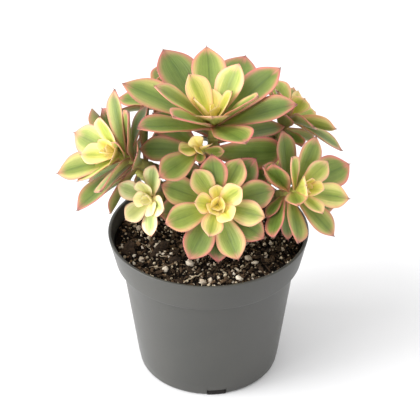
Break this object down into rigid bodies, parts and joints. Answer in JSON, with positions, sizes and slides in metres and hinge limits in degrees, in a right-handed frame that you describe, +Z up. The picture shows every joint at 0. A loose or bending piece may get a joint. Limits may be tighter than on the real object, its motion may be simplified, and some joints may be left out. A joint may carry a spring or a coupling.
{
  "type": "potted aeonium",
  "caption": "Branching variegated rosette succulent standing in soil in a round tapered nursery pot with a flared skirt under its rim.",
  "frame": {"origin": "centre of the pot's foot, on the surface that the pot stands on", "axes": "+Z up, along the pot's axis; -Y towards the front of the plant, as pictured; +X to its right"},
  "size_m": [0.1705, 0.1401, 0.1934],
  "materials": {
    "pot": "matte, with a faint sheen",
    "soil": "rough, dark peat with bark and perlite",
    "stems": "rough, grey-brown bark with leaf scars",
    "leaves": "satin, green with yellow zones and pink edges",
    "pale_leaves": "satin, cream and yellow-green with pink edges"
  },
  "bodies": {
    "root": {"pot": "pot", "soil": "soil", "stems": "stems", "rosette_front": "leaves", "rosette_top": "leaves", "rosette_right": "leaves", "rosette_left": "leaves", "rosette_small_left": "pale_leaves", "rosette_under_top": "leaves", "rosette_back_right": "leaves", "rosette_back_left": "leaves", "rosette_back": "leaves", "rosette_low_right": "pale_leaves", "rosette_low_left": "pale_leaves"}
  },
  "joints": []
}
